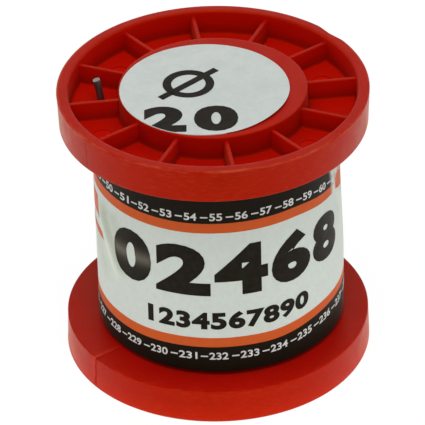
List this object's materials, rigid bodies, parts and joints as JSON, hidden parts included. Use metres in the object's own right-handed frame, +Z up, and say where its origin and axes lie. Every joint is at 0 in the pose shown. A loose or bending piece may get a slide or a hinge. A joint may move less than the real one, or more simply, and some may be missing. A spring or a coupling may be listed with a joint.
{
  "type": "solder wire spool",
  "caption": "One-piece moulded bobbin with ribbed flanges and a through bore, wound with solder wire under a wrapped paper label, with a round sticker on the hub.",
  "frame": {"origin": "centre of the face that the spool stands on", "axes": "+Z up along the spool's axis, towards the end with the sticker; the wire's cut end stands on the -X side"},
  "size_m": [0.063, 0.063, 0.0609],
  "materials": {
    "red_plastic": "moulded red plastic, satin gloss",
    "solder": null,
    "label_paper": "coated white paper with black and orange print",
    "sticker_paper": "coated white paper with black print"
  },
  "bodies": {
    "root": {"spool_body": "red_plastic", "solder_inner_layers": "solder", "solder_outer_layer": "solder", "wrap_label": "label_paper", "end_sticker": "sticker_paper"}
  },
  "joints": []
}
